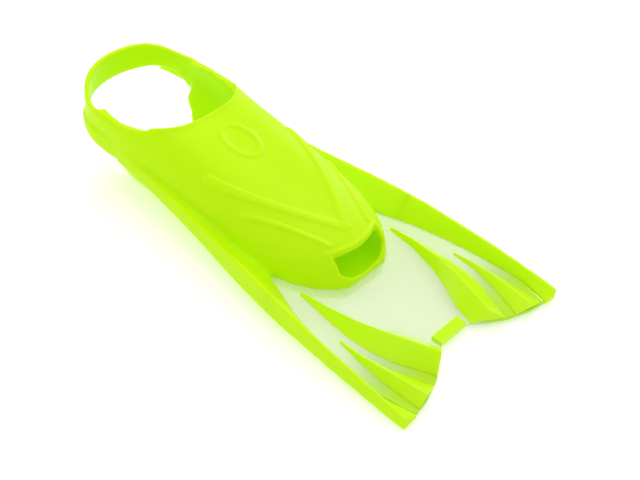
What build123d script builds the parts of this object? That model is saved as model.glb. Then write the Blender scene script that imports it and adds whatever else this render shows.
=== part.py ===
from build123d import *
import os

# A full-foot training fin: a moulded foot pocket with a heel strap, a clear flexing blade,
# two side rails and four triangular ridges. Lengths are in millimetres.
# +X runs from the heel to the blade tips, +Y to the wearer's left, +Z up.
# The origin lies on the floor, under the middle of the bounding box.

# Driving dimensions
LENGTH = 388.0            # heel strap to rail tips
TIP_X = LENGTH / 2
HEEL_X = -LENGTH / 2
WIDTH = 180.0             # across the rail tips
WALL = 3.5                # pocket wall
SOLE = 5.0                # sole under the foot
RAIL_TOP = 2.5            # flat on top of the rails
WEB = 3.0                 # blade web thickness
RIDGE = 1.2               # height of the raised lines on the vamp

# Blade hinge: the flexing zone just ahead of the toe
BLADE_X = 98.0
BLADE_Z = 14.6
BLADE_R = 9.2
BLADE_GAP = 0.9
# Strap hinge: where the strap leaves the side walls
STRAP_X = -146.0
STRAP_Z = 46.5
STRAP_R = 24.0
STRAP_GAP = 1.6

# Where the shell's regions meet
TOE_CAP_X = 50.0
VAMP_BACK_X = -84.0
VAMP_HALF = 40.0
VAMP_BOTTOM = 28.0

# Ankle and toe openings
OPENING_FRONT_X = -81.0
STRAP_TOP = 62.5          # height of the opening's side edge
STRAP_REAR_TOP = 74.0
STRAP_THICK = 4.0
HEEL_CENTRE_X = -150.0    # centre of the half ellipse that the strap follows
HEEL_HALF_WIDTH = 54.0
CREASE_Z = 45.0           # where the strap meets its flange
FLANGE_OUT = 2.5
MOUTH_HALF = 25.0
MOUTH_BOTTOM = 12.5
MOUTH_CORNER = 11.0       # rise of the mouth's lower edge to its corners
MOUTH_BACK_X = 69.0       # at the mouth's corners
MOUTH_LIP_X = 76.0        # at the middle of the upper lip
SHELL_FRONT_X = 85.0

# Pocket sections: x, half width of the flat sole, widest point (y, z), shoulder (y, z), crown z
POCKET = [
    (-176, 18, 54, 38, 54, 62, 82),
    (-130, 24, 54.3, 36, 53.2, 63, 79),
    (-85, 30, 56, 33, 43.5, 66, 70.5),
    (-50, 38, 57, 30, 44, 58.5, 63.5),
    (-20, 44, 57.5, 27, 43, 53, 57.5),
    (15, 47, 56, 23, 40, 46.5, 51),
    (45, 44, 51, 18, 35, 40.5, 45.5),
    (65, 36, 42, 14, 29, 35, 40.5),
    (78, 26, 30.5, 12, 22, 28.5, 33.5),
    (SHELL_FRONT_X, 15, 19, 8, 13, 16, 19),
]

# Rail sections: x, outer y, bottom z, top z, then the foot of the inner face: y, z
RAILS = [
    (-130, 57, 30, 45, 53, 44),
    (-87, 60.5, 26.5, 38.5, 54, 37),
    (-50, 64.2, 21, 34, 55, 31.5),
    (-20, 68.2, 17, 32, 55, 27),
    (4, 72.2, 13.6, 30.8, 54, 20.5),
    (29, 76.2, 10.8, 29.6, 53, 17.5),
    (52, 79.6, 8.6, 28, 60, 14),
    (75, 82.4, 7, 26.2, 68.5, 12),
    (BLADE_X, 84.6, 6.2, 23.2, 74, 10.5),
    (116, 86.2, 5.4, 21, 77, 9.5),
    (135, 87.4, 4.2, 18.8, 79.5, 8.4),
    (154, 88.3, 2.9, 16.2, 81, 7.4),
    (172, 89.2, 1.4, 13.4, 81.5, 6.6),
    (TIP_X, WIDTH / 2, 0, 9.6, 76, 5.6),
]

# Middle height of the web: x, z
WEB_LINE = [(-85, 29), (-50, 24.5), (-20, 20.5), (15, 15.5), (45, 12.5), (75, 10.5), (BLADE_X, 9),
            (130, 7.2), (160, 5.6), (TIP_X, 4)]

# Zigzag trailing edge, right half: x, y
STRIP_BACK_X = 157.5
STRIP_FRONT_X = 166.5
STRIP_HALF = 14.5
TRAILING = [(TIP_X + 1, 90), (193.4, 78), (190.8, 61.6), (184, 42), (176, 28.4), (STRIP_FRONT_X, STRIP_HALF)]

# Triangular ridges, section by section: x, inner foot y, crest (y, z), outer foot y
INNER_RIDGE = [(66, 47.5, 51, 14.8, 54.5), (90, 46, 50.3, 16.2, 58.5), (116, 38.5, 47, 17.2, 61.3),
               (135, 29.5, 42, 17.7, 60.2), (152, 19.5, 36.5, 17.8, 56.5)]
INNER_END = ((167.5, 15.5), (176, 28.4, 17.5), (184, 42))
OUTER_RIDGE = [(115.5, 63.4, 65.5, 11.6, 67.5), (135, 62, 66.5, 12.2, 71), (158, 56.6, 65, 12.4, 74.6)]
OUTER_END = ((185, 44.2), (190.8, 61.6, 11.8), (192.5, 75.4))

# Raised lines on the vamp, right half in plan
REAR_CHEVRON = [(-38, 46), (-8, 38), (26, 22), (62, 0)]
REAR_CHEVRON_WIDTH = 6.0
FRONT_CHEVRON = [(2, 48), (30, 36), (52, 27), (66, 21)]
FRONT_CHEVRON_WIDTH = 2.6


def between(table, x, column):
    """Read a column of a station table at x by straight interpolation."""
    for low, high in zip(table, table[1:]):
        if x <= high[0]:
            share = (x - low[0]) / (high[0] - low[0])
            return low[column] + share * (high[column] - low[column])
    return table[-1][column]


def pocket_section(station, grow, floor, front_shift=0.0):
    """One cross-section: flat sole and a curve over the crown, grown outwards by grow."""
    x, sole, wide_y, wide_z, shoulder_y, shoulder_z, crown = station
    x += front_shift
    right = [(sole + grow, floor), (wide_y + grow, max(wide_z, floor + 1)), (shoulder_y + grow, shoulder_z + grow)]
    points = right + [(0, crown + grow)] + [(-y, z) for y, z in reversed(right)]
    over = Spline(*[(x, y, z) for y, z in points])
    base = Line(over @ 1, over @ 0)
    return make_face([over, base])


def make_face(edges):
    """A flat face bounded by the edges."""
    return Face(Wire(edges))


def pocket_solid(grow, floor=-1.0, front_shift=0.0):
    """The filled foot pocket, lofted through its sections."""
    sections = [pocket_section(s, grow, floor, front_shift if s is POCKET[-1] else 0) for s in POCKET]
    return Solid.make_loft([s.outer_wire() for s in sections])


def side_prism(points, half=150.0):
    """A prism across Y with the given outline in the XZ plane."""
    outline = Wire.make_polygon([(x, -half, z) for x, z in points], close=True)
    return Solid.extrude(Face(outline), Vector(0, 2 * half, 0))


def plan_prism(points, low=-10.0, high=120.0):
    """A prism along Z with the given outline in plan."""
    outline = Wire.make_polygon([(x, y, low) for x, y in points], close=True)
    return Solid.extrude(Face(outline), Vector(0, 0, high - low))


def quad_loft(sections):
    """A straight-sided loft through closed polygons with the same number of corners."""
    wires = [Wire.make_polygon(points, close=True) for points in sections]
    return Solid.make_loft(wires, ruled=True)


def cross_cylinder(x, z, radius):
    """A cylinder along Y about a hinge line."""
    return Pos(x, 0, z) * Rot(90, 0, 0) * Cylinder(radius, 300)


def box_span(x0, x1, y0, y1, z0, z1):
    """A box given by its limits."""
    return Pos((x0 + x1) / 2, (y0 + y1) / 2, (z0 + z1) / 2) * Box(x1 - x0, y1 - y0, z1 - z0)


AHEAD = box_span(BLADE_X, 260, -150, 150, -20, 120)
BEHIND = box_span(-260, STRAP_X, -150, 150, -20, 120)


def foot_side(shape):
    """The part of a shape behind the blade hinge, clear of its knuckle."""
    return shape - AHEAD - cross_cylinder(BLADE_X, BLADE_Z, BLADE_R + BLADE_GAP)


def blade_side(shape):
    """The part of a shape ahead of the blade hinge, with its rounded knuckle."""
    return shape & (AHEAD + cross_cylinder(BLADE_X, BLADE_Z, BLADE_R))


def mirrored(shape):
    """The same shape on the other side of the fin."""
    return mirror(shape, about=Plane.XZ)


def ankle_cut():
    """Everything above the opening's edge and behind its rounded front."""
    above = side_prism([(-230, STRAP_TOP), (-122, STRAP_TOP), (-105, 64.3), (-95, 66), (-60, 66),
                        (-60, 120), (-230, 120)])
    right = [(-118, 52), (-98, 44.5), (OPENING_FRONT_X - 3, 30), (OPENING_FRONT_X, 0)]
    front = Spline(*[(x, y, 0) for x, y in right + [(x, -y) for x, y in reversed(right[:-1])]])
    behind = [front @ 1, (-118, -80, 0), (-230, -80, 0), (-230, 80, 0), (-118, 80, 0), front @ 0]
    back = [Line(start, end) for start, end in zip(behind, behind[1:])]
    return above & Solid.extrude(make_face([front] + back), Vector(0, 0, 120))


def heel_cut():
    """The curved rear end of the sole and walls, under the strap."""
    return side_prism([(-230, -5), (-131, -5), (-131, 0), (-136, 12), (-143, 22), (-151, 31), (-158, 36), (-158, 60),
                       (-230, 60)])


def mouth_prism(grow):
    """The toe opening: a bowed upper lip and a round lower edge, running forwards."""
    half = MOUTH_HALF + grow
    low = MOUTH_BOTTOM - grow
    corner = low + MOUTH_CORNER
    back = MOUTH_BACK_X - 10
    arc = ThreePointArc((back, -half, corner), (back, 0, low), (back, half, corner))
    sides = [Line((back, half, corner), (back, half, 80)), Line((back, half, 80), (back, -half, 80)),
             Line((back, -half, 80), (back, -half, corner))]
    tunnel = Solid.extrude(make_face([arc] + sides), Vector(60, 0, 0))
    lip = ThreePointArc((MOUTH_BACK_X - grow, -half, 0), (MOUTH_LIP_X - grow, 0, 0), (MOUTH_BACK_X - grow, half, 0))
    ahead = [Line(lip @ 1, (130, half, 0)), Line((130, half, 0), (130, -half, 0)), Line((130, -half, 0), lip @ 0)]
    return tunnel & Solid.extrude(make_face([lip] + ahead), Vector(0, 0, 80))


def hollow_shell(outer):
    """The pocket's wall over the sole, open at the heel, the ankle and the toe."""
    inner = pocket_solid(-WALL, floor=SOLE, front_shift=-WALL)
    below = box_span(-240, 240, -150, 150, -5, SOLE)
    tail = box_span(-240, -165, -60, 60, SOLE, 100)
    return outer - below - inner - tail - ankle_cut() - heel_cut() - mouth_prism(0)


def shell_regions(shell):
    """The shell divided into the toe cap, the vamp, and a front and a heel wall on each side."""
    reach = 150
    toe = box_span(TOE_CAP_X, 200, -reach, reach, 0, 120)
    vamp = box_span(VAMP_BACK_X, TOE_CAP_X, -VAMP_HALF, VAMP_HALF, VAMP_BOTTOM, 120)
    front = box_span(VAMP_BACK_X, TOE_CAP_X, 0, reach, 0, 120) - vamp
    heel = box_span(-200, VAMP_BACK_X, 0, reach, 0, 120)
    return shell & toe, shell & vamp, shell & front, shell & heel


def rail():
    """The whole left rail from the heel flange to the blade tip."""
    sections = []
    for x, y, low, high, foot_y, foot_z in RAILS:
        under = min(foot_z - WEB, max(low, between(WEB_LINE, x, 1) - WEB / 2))
        sections.append([(x, y, low), (x, y, high), (x, y - RAIL_TOP, high), (x, foot_y, foot_z), (x, foot_y, under)])
    return quad_loft(sections)


def web():
    """The thin plate between the rails, with its zigzag trailing edge."""
    sections = []
    for x, z in WEB_LINE:
        edge = between(RAILS, x, 4) + 1
        low, high = z - WEB / 2, z + WEB / 2
        sections.append([(x, -edge, low), (x, edge, low), (x, edge, high), (x, -edge, high)])
    right_edge = TRAILING + [(x, -y) for x, y in reversed(TRAILING)]
    keep = plan_prism([(-100, -90), (-100, 90)] + right_edge)
    return quad_loft(sections) & keep


def ridge(stations, end):
    """A triangular ridge that grows from its nose to the trailing edge."""
    sections = []
    for x, inner, crest_y, crest_z, outer_foot in stations:
        base = between(WEB_LINE, x, 1)
        sections.append([(x, inner, base), (x, outer_foot, base), (x, crest_y, crest_z)])
    (in_x, in_y), crest, (out_x, out_y) = end
    sections.append([(in_x, in_y, between(WEB_LINE, in_x, 1)), (out_x, out_y, between(WEB_LINE, out_x, 1)), crest])
    return quad_loft(sections)


def tip_strip():
    """The thicker strip along the middle of the trailing edge."""
    z = between(WEB_LINE, STRIP_BACK_X, 1)
    return box_span(STRIP_BACK_X, STRIP_FRONT_X, -STRIP_HALF, STRIP_HALF, z - WEB / 2, z + WEB)


def raised_line(points, width, skin):
    """A low raised band on the left half of the vamp along a smooth line in plan."""
    line = Spline(*[(x, y, 0) for x, y in points])
    steps = 8
    edges = ([], [])
    for step in range(steps + 1):
        centre = line @ (step / steps)
        run = line % (step / steps)
        side = Vector(-run.Y, run.X, 0) * (width / 2)
        edges[0].append(((centre + side).X, (centre + side).Y))
        edges[1].append(((centre - side).X, (centre - side).Y))
    corners = edges[0] + edges[1][::-1]
    return plan_prism(corners, 30, 90) & skin & box_span(-240, 240, 0, 100, 0, 120)


def emblem(skin):
    """A plain oval outline raised on the vamp."""
    ring = Ellipse(19, 13) - Ellipse(16.6, 10.6)
    return extrude(Pos(-46, 0, 30) * ring, 60) & skin


def plan_heel(offset):
    """The heel in plan: straight sides and a half ellipse round the back, grown by offset."""
    half = HEEL_HALF_WIDTH + offset
    depth = HEEL_CENTRE_X - HEEL_X + offset
    front_x = -115
    round_end = Pos(HEEL_CENTRE_X, 0, 0) * Ellipse(depth, half)
    sides = Pos((HEEL_CENTRE_X + front_x) / 2, 0, 0) * Rectangle(front_x - HEEL_CENTRE_X, 2 * half)
    return extrude(round_end + sides, 120) & box_span(-260, front_x, -150, 150, 0, 120)


def strap_band(shell):
    """The heel strap: the side walls' upper rear part and a thin band round the heel."""
    ring = (plan_heel(0) - plan_heel(-STRAP_THICK)) & box_span(-260, HEEL_CENTRE_X, -150, 150, 0, 120)
    profile = side_prism([(HEEL_CENTRE_X, 30), (-158, 36), (-163, 42), (-169, 47.5), (-181, 50.5), (-200, 50),
                          (-200, STRAP_REAR_TOP), (-186, 72.5), (-178, 69), (-170, 65), (-162, STRAP_TOP),
                          (HEEL_CENTRE_X, STRAP_TOP)])
    return strap_side((shell & box_span(HEEL_CENTRE_X, 0, -150, 150, 0, 120)) + (ring & profile))


def strap_flange(band):
    """The stepped lip outside the strap's lower edge, tapering away towards the rear."""
    ring = plan_heel(FLANGE_OUT) - plan_heel(-STRAP_THICK / 4)
    profile = side_prism([(-110, 29), (-136, 30), (-148, 31.5), (-160, 35), (-168, 38), (-182, 46.5), (-165, 45.5),
                          (-110, CREASE_Z)])
    return (strap_side(ring & profile) - band) & box_span(-260, 0, HEEL_HALF_WIDTH / 2, 150, 0, 120)


def strap_side(shape):
    """The part of a shape behind the strap hinge, with its rounded knuckle."""
    behind = BEHIND & box_span(-260, 0, -150, 150, STRAP_Z - STRAP_R, 120)
    return shape & (behind + cross_cylinder(STRAP_X, STRAP_Z, STRAP_R))


def clear_of_strap(shape):
    """The part of a shape that stays with the foot pocket, clear of the strap's knuckle."""
    over = BEHIND & box_span(-260, 0, -150, 150, STRAP_Z - STRAP_R - STRAP_GAP, 120)
    return shape - over - cross_cylinder(STRAP_X, STRAP_Z, STRAP_R + STRAP_GAP)


def save(name, shape):
    """Write one node."""
    export_step(shape if isinstance(shape, (Solid, Compound)) else Compound(shape), f"parts/{name}.step")


os.makedirs("parts", exist_ok=True)

outer = pocket_solid(0)
skin = pocket_solid(RIDGE) - outer
shell = hollow_shell(outer)
toe_cap, vamp, front_wall, heel_wall = shell_regions(clear_of_strap(shell))
plate = web() - outer
left_rail = rail() - outer
strip = tip_strip()
band = strap_band(shell)
rim_band = side_prism([(-99, 64), (-60, 64), (-60, 90), (-99, 90)])
opening_edge = Pos(2.5, 0, 0) * ankle_cut() - ankle_cut()
inner_ridge = ridge(INNER_RIDGE, INNER_END) - plate - strip
outer_ridge = ridge(OUTER_RIDGE, OUTER_END) - plate - inner_ridge

save("sole_plate", (outer & box_span(-240, 240, -150, 150, 0, SOLE)) - heel_cut())
save("toe_cap", toe_cap)
save("vamp", vamp)
save("ankle_rim", skin & opening_edge & rim_band)
save("toe_rim", ((mouth_prism(2.2) - mouth_prism(0)) & skin) - plate)
save("toe_web", foot_side(plate) - left_rail - mirrored(left_rail))
save("blade_web", blade_side(plate) - left_rail - mirrored(left_rail) - strip)
save("tip_strip", strip)
save("vamp_emblem", emblem(skin))
save("heel_strap", band)

sided = {
    "front_wall": front_wall,
    "heel_wall": heel_wall,
    "strap_flange": strap_flange(band),
    "rear_rail": clear_of_strap(foot_side(left_rail)),
    "blade_rail": blade_side(left_rail),
    "inner_ridge_nose": foot_side(inner_ridge),
    "inner_ridge": blade_side(inner_ridge),
    "outer_ridge": outer_ridge,
    "rear_chevron": raised_line(REAR_CHEVRON, REAR_CHEVRON_WIDTH, skin),
    "front_chevron": raised_line(FRONT_CHEVRON, FRONT_CHEVRON_WIDTH, skin),
}
for name, shape in sided.items():
    save(name + "_left", shape)
    save(name + "_right", mirrored(shape))
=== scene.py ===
"""Looks of a lime training fin: a fused soft moulding, a clear ridged blade and a studio floor."""
import math

import bmesh
import bpy
import numpy as np
from mathutils import Matrix, Vector


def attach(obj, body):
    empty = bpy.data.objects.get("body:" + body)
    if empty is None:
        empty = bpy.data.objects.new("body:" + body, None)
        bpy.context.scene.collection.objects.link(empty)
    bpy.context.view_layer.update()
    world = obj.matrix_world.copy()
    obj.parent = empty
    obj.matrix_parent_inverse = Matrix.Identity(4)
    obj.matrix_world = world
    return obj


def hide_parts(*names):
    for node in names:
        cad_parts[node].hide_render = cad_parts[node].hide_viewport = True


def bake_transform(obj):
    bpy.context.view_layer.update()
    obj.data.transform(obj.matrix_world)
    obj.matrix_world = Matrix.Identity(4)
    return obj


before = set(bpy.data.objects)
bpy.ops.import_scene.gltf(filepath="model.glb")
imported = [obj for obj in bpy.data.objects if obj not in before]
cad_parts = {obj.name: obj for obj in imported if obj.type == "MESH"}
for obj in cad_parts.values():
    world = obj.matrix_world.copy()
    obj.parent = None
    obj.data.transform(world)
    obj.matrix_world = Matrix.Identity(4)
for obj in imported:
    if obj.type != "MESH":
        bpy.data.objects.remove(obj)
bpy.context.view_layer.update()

MM = 0.001
SIDES = (("left", 1), ("right", -1))

# Fusing the moulded regions
VOXEL = 0.9 * MM
CLOSE_GAP = 1.0 * MM          # half the widest gap that fusing bridges
RIDGE_VOXEL = 0.45 * MM
RIDGE_CLOSE_GAP = 0.7 * MM
SOFT_ROUNDS = 6
RIDGE_ROUNDS = 12
WEB_ROUNDS = 2
STRAP_ROUNDS = 24
STRAP_RELAX_X = -88 * MM      # the strap and opening are rounded more behind this
RAIL_CUT_X = 60 * MM          # where the rails leave the foot moulding's piece
RAIL_CUT_Y = 62 * MM
CUT_REACH = 4 * MM            # how near the cut a face has to be to get its edge loop

# Where the clear web turns lime: at the trailing edge, off the middle, and beside the pocket
WEB_REAR_X = (0.120, 0.178)
WEB_SIDE_Y = (0.018, 0.034)
WEB_ROOT_X = (0.052, 0.030)

# Colours
LIME_DEEP = (0.50, 0.83, 0.001)
LIME_BRIGHT = (0.55, 0.87, 0.002)
HARD_LIME_DEEP = (0.50, 0.86, 0.003)
HARD_LIME_BRIGHT = (0.56, 0.91, 0.006)
LIME_GLOW = (0.56, 0.84, 0.001)
WEB_CLEAR = (0.84, 0.93, 0.62)
WEB_LIME = (0.53, 0.88, 0.003)

# Camera and studio
AZIMUTH, ELEVATION, ROLL = 38.88, 41.1, 4.39
DISTANCE = 0.9652
TARGET = Vector((0.0273, 0.0136, 0.0))
LENS = 70.4


# ---------------------------------------------------------------- meshes

def new_object(name, mesh):
    """Link a mesh as an object at the origin."""
    obj = bpy.data.objects.new(name, mesh)
    bpy.context.scene.collection.objects.link(obj)
    return obj


def joined_copy(name, nodes):
    """One object with a copy of several CAD nodes' meshes."""
    bm = bmesh.new()
    for node in nodes:
        bm.from_mesh(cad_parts[node].data)
    bmesh.ops.remove_doubles(bm, verts=bm.verts, dist=1e-6)
    mesh = bpy.data.meshes.new(name)
    bm.to_mesh(mesh)
    bm.free()
    return new_object(name, mesh)


def apply_modifiers(obj):
    """Keep what the modifiers make as the object's own mesh."""
    graph = bpy.context.evaluated_depsgraph_get()
    mesh = bpy.data.meshes.new_from_object(obj.evaluated_get(graph))
    obj.modifiers.clear()
    old = obj.data
    obj.data = mesh
    bpy.data.meshes.remove(old)
    return obj


def voxel(obj, size):
    """Rebuild a mesh as one even skin."""
    mod = obj.modifiers.new("fuse", "REMESH")
    mod.mode = "VOXEL"
    mod.voxel_size = size
    return apply_modifiers(obj)


def swell(obj, distance):
    """Move every point along its normal."""
    count = len(obj.data.vertices)
    points = np.empty(count * 3)
    normals = np.empty(count * 3)
    obj.data.vertices.foreach_get("co", points)
    obj.data.vertices.foreach_get("normal", normals)
    obj.data.vertices.foreach_set("co", points + normals * distance)
    obj.data.update()
    return obj


def relax(obj, factor, repeat, behind=None):
    """Round a mesh off evenly, all of it or what lies behind an X."""
    mod = obj.modifiers.new("relax", "SMOOTH")
    mod.factor = factor
    mod.iterations = repeat
    if behind is not None:
        group = obj.vertex_groups.new(name="relaxed")
        group.add([v.index for v in obj.data.vertices if v.co.x < behind], 1.0, "REPLACE")
        mod.vertex_group = group.name
    return apply_modifiers(obj)


def fuse(obj, size=VOXEL, close=CLOSE_GAP, rounds=SOFT_ROUNDS):
    """Join touching solids into one soft-edged moulding."""
    voxel(obj, size)
    swell(obj, close)
    voxel(obj, size)
    swell(obj, -close)
    return relax(obj, 0.5, rounds)


def shade_smooth(obj):
    """Smooth shading on every face."""
    for face in obj.data.polygons:
        face.use_smooth = True


def split_off(obj, name, keep):
    """Move the faces whose centre passes keep into a new object, after closing the cut."""
    bm = bmesh.new()
    bm.from_mesh(obj.data)
    rest = bm.copy()
    for part, wanted in ((bm, True), (rest, False)):
        drop = [f for f in part.faces if keep(f.calc_center_median()) != wanted]
        bmesh.ops.delete(part, geom=drop, context="FACES")
        rim = [e for e in part.edges if e.is_boundary]
        bmesh.ops.holes_fill(part, edges=rim, sides=0)
        for edge in rim:
            edge.smooth = False
    mesh = bpy.data.meshes.new(name)
    bm.to_mesh(mesh)
    rest.to_mesh(obj.data)
    bm.free()
    rest.free()
    return new_object(name, mesh)


def cut_across(obj, x, y_min):
    """Add a straight edge loop at x through everything further out than y_min."""
    bm = bmesh.new()
    bm.from_mesh(obj.data)
    faces = [f for f in bm.faces if abs(f.calc_center_median().y) > y_min
             and abs(f.calc_center_median().x - x) < CUT_REACH]
    geom = faces + list({e for f in faces for e in f.edges}) + list({v for f in faces for v in f.verts})
    bmesh.ops.bisect_plane(bm, geom=geom, plane_co=(x, 0, 0), plane_no=(1, 0, 0), dist=1e-7)
    bm.to_mesh(obj.data)
    bm.free()


# ---------------------------------------------------------------- materials

def principled(name, colour, roughness):
    """A new node material and its shader."""
    mat = bpy.data.materials.new(name)
    mat.use_nodes = True
    shader = mat.node_tree.nodes["Principled BSDF"]
    shader.inputs["Base Color"].default_value = (*colour, 1)
    shader.inputs["Roughness"].default_value = roughness
    return mat, shader


def noise(tree, scale, detail=3.0):
    """Noise in object space."""
    where = tree.nodes.new("ShaderNodeTexCoord")
    tex = tree.nodes.new("ShaderNodeTexNoise")
    tex.inputs["Scale"].default_value = scale
    tex.inputs["Detail"].default_value = detail
    tree.links.new(where.outputs["Object"], tex.inputs["Vector"])
    return tex


def spread(tree, value, low, high):
    """Map a 0 to 1 value to low to high."""
    node = tree.nodes.new("ShaderNodeMapRange")
    node.inputs["To Min"].default_value = low
    node.inputs["To Max"].default_value = high
    tree.links.new(value, node.inputs["Value"])
    return node.outputs["Result"]


def colour_mix(tree, factor, first, second):
    """Mix two colours by a value."""
    mix = tree.nodes.new("ShaderNodeMix")
    mix.data_type = "RGBA"
    tree.links.new(factor, mix.inputs["Factor"])
    mix.inputs["A"].default_value = (*first, 1)
    mix.inputs["B"].default_value = (*second, 1)
    return mix.outputs["Result"]


def fine_bump(tree, shader, scale, strength, distance):
    """A fine moulded grain."""
    grain = noise(tree, scale, 2.0)
    bump = tree.nodes.new("ShaderNodeBump")
    bump.inputs["Strength"].default_value = strength
    bump.inputs["Distance"].default_value = distance
    tree.links.new(grain.outputs["Fac"], bump.inputs["Height"])
    tree.links.new(bump.outputs["Normal"], shader.inputs["Normal"])


def glow(shader, strength):
    """Stand-in for the light that passes through thin lime walls."""
    shader.inputs["Emission Color"].default_value = (*LIME_GLOW, 1)
    shader.inputs["Emission Strength"].default_value = strength


def soft_lime():
    """Semi-gloss lime elastomer with a faint cloudiness and grain."""
    mat, shader = principled("soft_lime", (0.52, 0.87, 0.002), 0.36)
    tree = mat.node_tree
    cloud = noise(tree, 28)
    tint = colour_mix(tree, cloud.outputs["Fac"], LIME_DEEP, LIME_BRIGHT)
    tree.links.new(tint, shader.inputs["Base Color"])
    tree.links.new(spread(tree, noise(tree, 90).outputs["Fac"], 0.36, 0.48), shader.inputs["Roughness"])
    shader.inputs["Specular IOR Level"].default_value = 0.1
    glow(shader, 0.13)
    shader.inputs["Subsurface Weight"].default_value = 0.45
    shader.inputs["Subsurface Scale"].default_value = 1.0
    shader.inputs["Subsurface Radius"].default_value = (0.008, 0.009, 0.002)
    fine_bump(tree, shader, 1800, 0.12, 0.0002)
    return mat


def blade_lime():
    """Glossier lime plastic of the blade's ridges."""
    mat, shader = principled("blade_lime", (0.53, 0.88, 0.003), 0.24)
    tree = mat.node_tree
    tint = colour_mix(tree, noise(tree, 40).outputs["Fac"], HARD_LIME_DEEP, HARD_LIME_BRIGHT)
    tree.links.new(tint, shader.inputs["Base Color"])
    tree.links.new(spread(tree, noise(tree, 120).outputs["Fac"], 0.18, 0.32), shader.inputs["Roughness"])
    shader.inputs["Specular IOR Level"].default_value = 0.15
    glow(shader, 0.12)
    shader.inputs["Subsurface Weight"].default_value = 0.35
    shader.inputs["Subsurface Scale"].default_value = 1.0
    shader.inputs["Subsurface Radius"].default_value = (0.006, 0.007, 0.002)
    fine_bump(tree, shader, 1500, 0.06, 0.0001)
    return mat


def ramp(tree, value, limits):
    """A smooth 0 to 1 step between two limits."""
    node = tree.nodes.new("ShaderNodeMapRange")
    node.interpolation_type = "SMOOTHSTEP"
    node.inputs["From Min"].default_value = limits[0]
    node.inputs["From Max"].default_value = limits[1]
    tree.links.new(value, node.inputs["Value"])
    return node.outputs["Result"]


def calculate(tree, operation, *values):
    """One maths node."""
    node = tree.nodes.new("ShaderNodeMath")
    node.operation = operation
    for value, socket in zip(values, node.inputs):
        tree.links.new(value, socket)
    return node.outputs[0]


def lime_share(tree):
    """How lime the web is at a point, from 0 to 1."""
    where = tree.nodes.new("ShaderNodeTexCoord")
    axes = tree.nodes.new("ShaderNodeSeparateXYZ")
    tree.links.new(where.outputs["Object"], axes.inputs["Vector"])
    rear = ramp(tree, axes.outputs["X"], WEB_REAR_X)
    side = ramp(tree, calculate(tree, "ABSOLUTE", axes.outputs["Y"]), WEB_SIDE_Y)
    root = ramp(tree, axes.outputs["X"], WEB_ROOT_X)
    return calculate(tree, "MAXIMUM", calculate(tree, "MULTIPLY", rear, side), root)


def clear_web():
    """Clear blade plastic that turns lime towards the trailing edge and the pocket's sides."""
    mat, shader = principled("clear_web", (0.9, 0.95, 0.85), 0.12)
    tree = mat.node_tree
    lime = lime_share(tree)
    tree.links.new(colour_mix(tree, lime, WEB_CLEAR, WEB_LIME), shader.inputs["Base Color"])
    tree.links.new(spread(tree, lime, 0.42, 0.97), shader.inputs["Alpha"])
    tree.links.new(spread(tree, noise(tree, 70).outputs["Fac"], 0.06, 0.2), shader.inputs["Roughness"])
    fine_bump(tree, shader, 260, 0.05, 0.0004)
    return mat


def paint(obj, mat):
    """Give an object one material."""
    obj.data.materials.clear()
    obj.data.materials.append(mat)


def finish(obj, mat):
    """Smooth shading and one material."""
    shade_smooth(obj)
    paint(obj, mat)


# ---------------------------------------------------------------- pieces

def sided(*names):
    """Left and right versions of node names."""
    return [f"{name}_{side}" for name in names for side, _ in SIDES]


def foot_and_rails(mat):
    """The pocket, strap and rails as one soft moulding, then split where the rails leave it."""
    nodes = ["toe_cap", "vamp", "sole_plate", "ankle_rim", "toe_rim", "vamp_emblem", "heel_strap"]
    nodes += sided("front_wall", "heel_wall", "strap_flange", "rear_chevron", "front_chevron", "rear_rail")
    obj = joined_copy("foot_moulding", nodes + sided("blade_rail"))
    fuse(obj)
    relax(obj, 0.5, STRAP_ROUNDS, behind=STRAP_RELAX_X)
    cut_across(obj, RAIL_CUT_X, RAIL_CUT_Y)
    rails = []
    for side, sign in SIDES:
        rail = split_off(obj, f"side_rail_{side}",
                         lambda c, s=sign: c.x > RAIL_CUT_X and c.y * s > RAIL_CUT_Y)
        rails.append((rail, side))
    for piece in [obj] + [rail for rail, _ in rails]:
        finish(piece, mat)
    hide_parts(*nodes)
    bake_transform(obj)
    for rail, side in rails:
        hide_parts(f"blade_rail_{side}")
        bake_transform(rail)


def ridges(mat):
    """The four triangular ridges."""
    for side, _ in SIDES:
        inner = joined_copy(f"blade_ridge_inner_{side}", [f"inner_ridge_{side}", f"inner_ridge_nose_{side}"])
        outer = joined_copy(f"blade_ridge_outer_{side}", [f"outer_ridge_{side}"])
        for piece in (inner, outer):
            fuse(piece, size=RIDGE_VOXEL, close=RIDGE_CLOSE_GAP, rounds=RIDGE_ROUNDS)
            finish(piece, mat)
        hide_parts(f"inner_ridge_{side}", f"inner_ridge_nose_{side}")
        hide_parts(f"outer_ridge_{side}")
        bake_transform(inner)
        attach(outer, "blade")


def blade_plate(mat):
    """The clear web, unbroken across the blade's root."""
    obj = joined_copy("blade_plate", ["toe_web", "blade_web"])
    fuse(obj, rounds=WEB_ROUNDS)
    finish(obj, mat)
    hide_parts("toe_web", "blade_web")
    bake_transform(obj)


def tip_strip(mat):
    """The modelled strip keeps its own shape and gets the finished material."""
    paint(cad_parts["tip_strip"], mat)


# ---------------------------------------------------------------- studio

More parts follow.
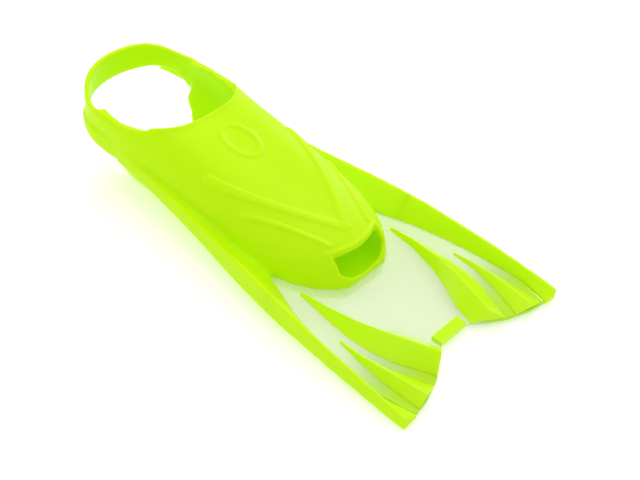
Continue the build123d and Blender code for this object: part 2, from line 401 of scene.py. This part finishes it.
def camera():
    """The camera, rolled slightly about its own axis."""
    az, el, roll = (math.radians(a) for a in (AZIMUTH, ELEVATION, ROLL))
    back = Vector((math.sin(az) * math.cos(el), -math.cos(az) * math.cos(el), math.sin(el)))
    right = Vector((0, 0, 1)).cross(back).normalized()
    up = back.cross(right)
    right, up = (right * math.cos(roll) + up * math.sin(roll), up * math.cos(roll) - right * math.sin(roll))
    data = bpy.data.cameras.new("camera")
    data.lens = LENS
    obj = bpy.data.objects.new("camera", data)
    rotation = Matrix((right, up, back)).transposed().to_4x4()
    obj.matrix_world = Matrix.Translation(TARGET + back * DISTANCE) @ rotation
    bpy.context.scene.collection.objects.link(obj)
    bpy.context.scene.camera = obj


def floor():
    """A wide glossy white floor."""
    bm = bmesh.new()
    bmesh.ops.create_grid(bm, x_segments=2, y_segments=2, size=6)
    mesh = bpy.data.meshes.new("floor")
    bm.to_mesh(mesh)
    bm.free()
    obj = new_object("floor", mesh)
    mat, shader = principled("floor_white", (0.93, 0.93, 0.93), 0.12)
    shader.inputs["Specular IOR Level"].default_value = 0.35
    shader.inputs["Emission Color"].default_value = (1, 1, 1, 1)
    shader.inputs["Emission Strength"].default_value = 0.3
    tree = mat.node_tree
    tree.links.new(spread(tree, noise(tree, 2).outputs["Fac"], 0.10, 0.14), shader.inputs["Roughness"])
    paint(obj, mat)


def area_light(name, place, target, size, power):
    """A soft square light that faces a point."""
    data = bpy.data.lights.new(name, "AREA")
    data.shape = "SQUARE"
    data.size = size
    data.energy = power
    obj = bpy.data.objects.new(name, data)
    obj.location = place
    obj.rotation_euler = (Vector(target) - Vector(place)).to_track_quat("-Z", "Y").to_euler()
    bpy.context.scene.collection.objects.link(obj)


def studio():
    """Even white surroundings with soft lights from above and behind."""
    world = bpy.data.worlds.new("studio")
    bpy.context.scene.world = world
    world.use_nodes = True
    background = world.node_tree.nodes["Background"]
    background.inputs["Color"].default_value = (1, 1, 1, 1)
    background.inputs["Strength"].default_value = 0.64
    area_light("overhead", (0.1, 0.1, 1.3), (0, 0, 0), 1.4, 5)
    area_light("far_side", (-0.3, 1.3, 0.7), (0, 0, 0), 0.5, 5)
    area_light("near_side", (-1.2, -0.5, 0.7), (-0.1, 0, 0), 0.4, 2)
    bpy.context.scene.view_settings.view_transform = "Standard"


camera()
floor()
studio()
hard_lime = blade_lime()
foot_and_rails(soft_lime())
ridges(hard_lime)
blade_plate(clear_web())
tip_strip(hard_lime)
